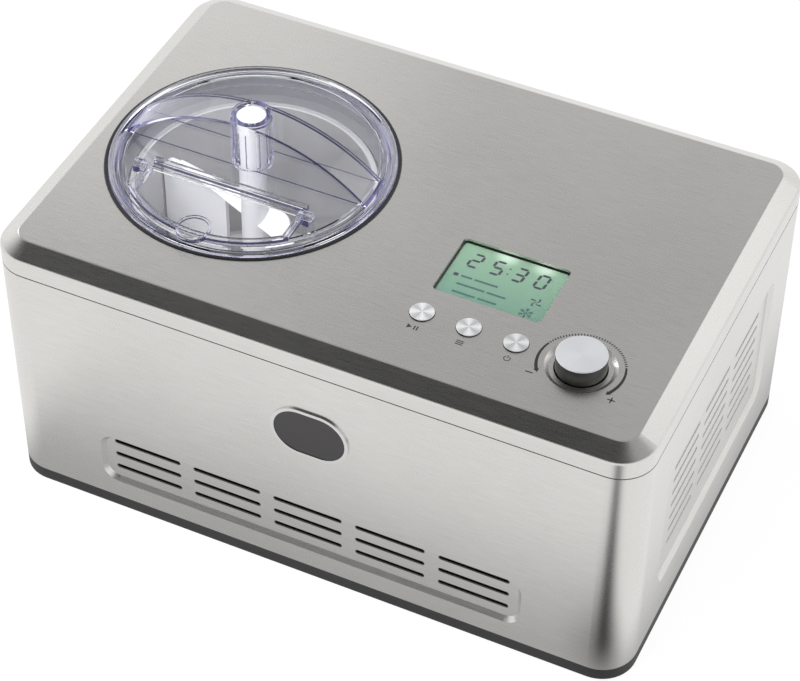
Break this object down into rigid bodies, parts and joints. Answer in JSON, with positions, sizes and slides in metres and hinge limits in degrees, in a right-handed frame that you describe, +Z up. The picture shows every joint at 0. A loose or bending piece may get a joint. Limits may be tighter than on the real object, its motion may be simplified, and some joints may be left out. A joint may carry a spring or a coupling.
{
  "type": "ice cream maker",
  "caption": "Countertop ice cream maker: steel case with vents, clear lid with arched handle and refill flap, lift-out bowl and paddle, display, buttons and knob.",
  "frame": {"origin": "middle of the footprint, on the surface the feet stand on", "axes": "+X to the right side, -Y to the front, +Z up"},
  "size_m": [0.425, 0.2884, 0.238],
  "materials": {
    "case_steel": "brushed along the width",
    "rear_steel": "satin",
    "base_plastic": "fine matt grain",
    "foot_rubber": "matt",
    "badge_face": "gloss",
    "badge_rim": "polished",
    "screw_steel": "zinc plated",
    "black_plastic": "satin",
    "gasket_rubber": "satin",
    "well_aluminium": "bare",
    "copper": "bare copper",
    "foam": "rigid foam",
    "zinc_sheet": "zinc plated",
    "bronze": "sintered bronze",
    "die_cast": "die cast",
    "shaft_steel": "ground",
    "motor_steel": "satin",
    "compressor_paint": "semi-gloss black",
    "fin_aluminium": "bare",
    "circuit_board": "solder mask",
    "display": "lit",
    "display_window": "clear",
    "component_black": "moulded",
    "bowl_steel": "satin",
    "clear_plastic": "clear",
    "white_plastic": "moulded",
    "button_aluminium": "spun",
    "knob_aluminium": "satin turned"
  },
  "bodies": {
    "housing": {"top_cover": "case_steel", "housing_wrap": "case_steel", "rear_panel": "rear_steel", "base_tray": "base_plastic", "feet": "foot_rubber", "corner_posts": "zinc_sheet", "badge_plate": "badge_face", "badge_rim": "badge_rim", "rear_screws": "screw_steel", "cord_gland": "black_plastic", "opening_collar": "black_plastic", "opening_gasket": "gasket_rubber", "cooling_well": "well_aluminium", "evaporator_coil": "copper", "insulation_foam": "foam", "support_plate": "zinc_sheet", "shaft_bush": "bronze", "shaft_seal": "gasket_rubber", "gearbox_case": "die_cast", "gearbox_cover": "die_cast", "idler_axle": "shaft_steel", "motor_can": "motor_steel", "compressor_shell": "compressor_paint", "compressor_dome": "compressor_paint", "compressor_pump": "die_cast", "compressor_plate": "compressor_paint", "compressor_grommets": "foot_rubber", "compressor_studs": "screw_steel", "condenser_fins": "fin_aluminium", "condenser_tubes": "copper", "fan_shroud": "black_plastic", "fan_motor": "motor_steel", "filter_drier": "copper", "suction_line": "copper", "discharge_line": "copper", "liquid_line": "copper", "control_frame": "black_plastic", "control_board": "circuit_board", "lcd_module": "display", "lcd_window": "display_window", "tact_switches": "component_black", "encoder": "die_cast", "power_board": "circuit_board"},
    "bowl": {"bowl": "bowl_steel"},
    "lid": {"lid": "clear_plastic", "lid_handle": "clear_plastic", "flap_pins": "shaft_steel"},
    "flap": {"flap": "clear_plastic"},
    "paddle": {"paddle": "white_plastic"},
    "drive": {"drive_shaft": "shaft_steel", "output_gear": "white_plastic"},
    "idler": {"idler_gear": "white_plastic"},
    "motor_rotor": {"motor_rotor": "shaft_steel", "motor_pinion": "bronze"},
    "fan": {"fan_rotor": "black_plastic"},
    "start_button": {"start_button": "button_aluminium"},
    "menu_button": {"menu_button": "button_aluminium"},
    "power_button": {"power_button": "button_aluminium"},
    "knob": {"knob": "knob_aluminium", "encoder_shaft": "shaft_steel"}
  },
  "joints": [
    {"name": "bowl_lift", "type": "slide", "parent": "housing", "child": "bowl", "axis": [0, 0, 1], "range_m": [0, 0.145]},
    {"name": "lid_lift", "type": "slide", "parent": "bowl", "child": "lid", "axis": [0, 0, 1], "range_m": [0, 0.08]},
    {"name": "flap_hinge", "type": "hinge", "parent": "lid", "child": "flap", "pos_m": [-0.102, -0.046, 0.2073], "axis": [-1, 0, 0], "range_deg": [0, 100]},
    {"name": "drive_spin", "type": "hinge", "parent": "housing", "child": "drive", "pos_m": [-0.102, -0.006, 0.1], "axis": [0, 0, 1], "continuous": true},
    {"name": "paddle_spin", "type": "hinge", "parent": "bowl", "child": "paddle", "pos_m": [-0.102, -0.006, 0.1], "axis": [0, 0, 1], "continuous": true},
    {"name": "idler_spin", "type": "hinge", "parent": "housing", "child": "idler", "pos_m": [-0.07195, -0.006, 0.05], "axis": [0, 0, 1], "continuous": true},
    {"name": "motor_spin", "type": "hinge", "parent": "housing", "child": "motor_rotor", "pos_m": [-0.0419, -0.006, 0.03], "axis": [0, 0, 1], "continuous": true},
    {"name": "fan_spin", "type": "hinge", "parent": "housing", "child": "fan", "pos_m": [0.1617, 0, 0.0776], "axis": [1, 0, 0], "continuous": true},
    {"name": "start_button_press", "type": "slide", "parent": "housing", "child": "start_button", "axis": [0, 0, -1], "range_m": [0, 0.001], "stiffness_N_per_m": 600, "springref_m": -0.0005},
    {"name": "menu_button_press", "type": "slide", "parent": "housing", "child": "menu_button", "axis": [0, 0, -1], "range_m": [0, 0.001], "stiffness_N_per_m": 600, "springref_m": -0.0005},
    {"name": "power_button_press", "type": "slide", "parent": "housing", "child": "power_button", "axis": [0, 0, -1], "range_m": [0, 0.001], "stiffness_N_per_m": 600, "springref_m": -0.0005},
    {"name": "knob_turn", "type": "hinge", "parent": "housing", "child": "knob", "pos_m": [0.1508, -0.0857, 0.205], "axis": [0, 0, 1], "continuous": true}
  ],
  "couplings": [
    {"joint": "idler_spin", "follows": "motor_spin", "ratio": -0.25},
    {"joint": "drive_spin", "follows": "motor_spin", "ratio": 0.0625},
    {"joint": "paddle_spin", "follows": "motor_spin", "ratio": 0.0625}
  ]
}
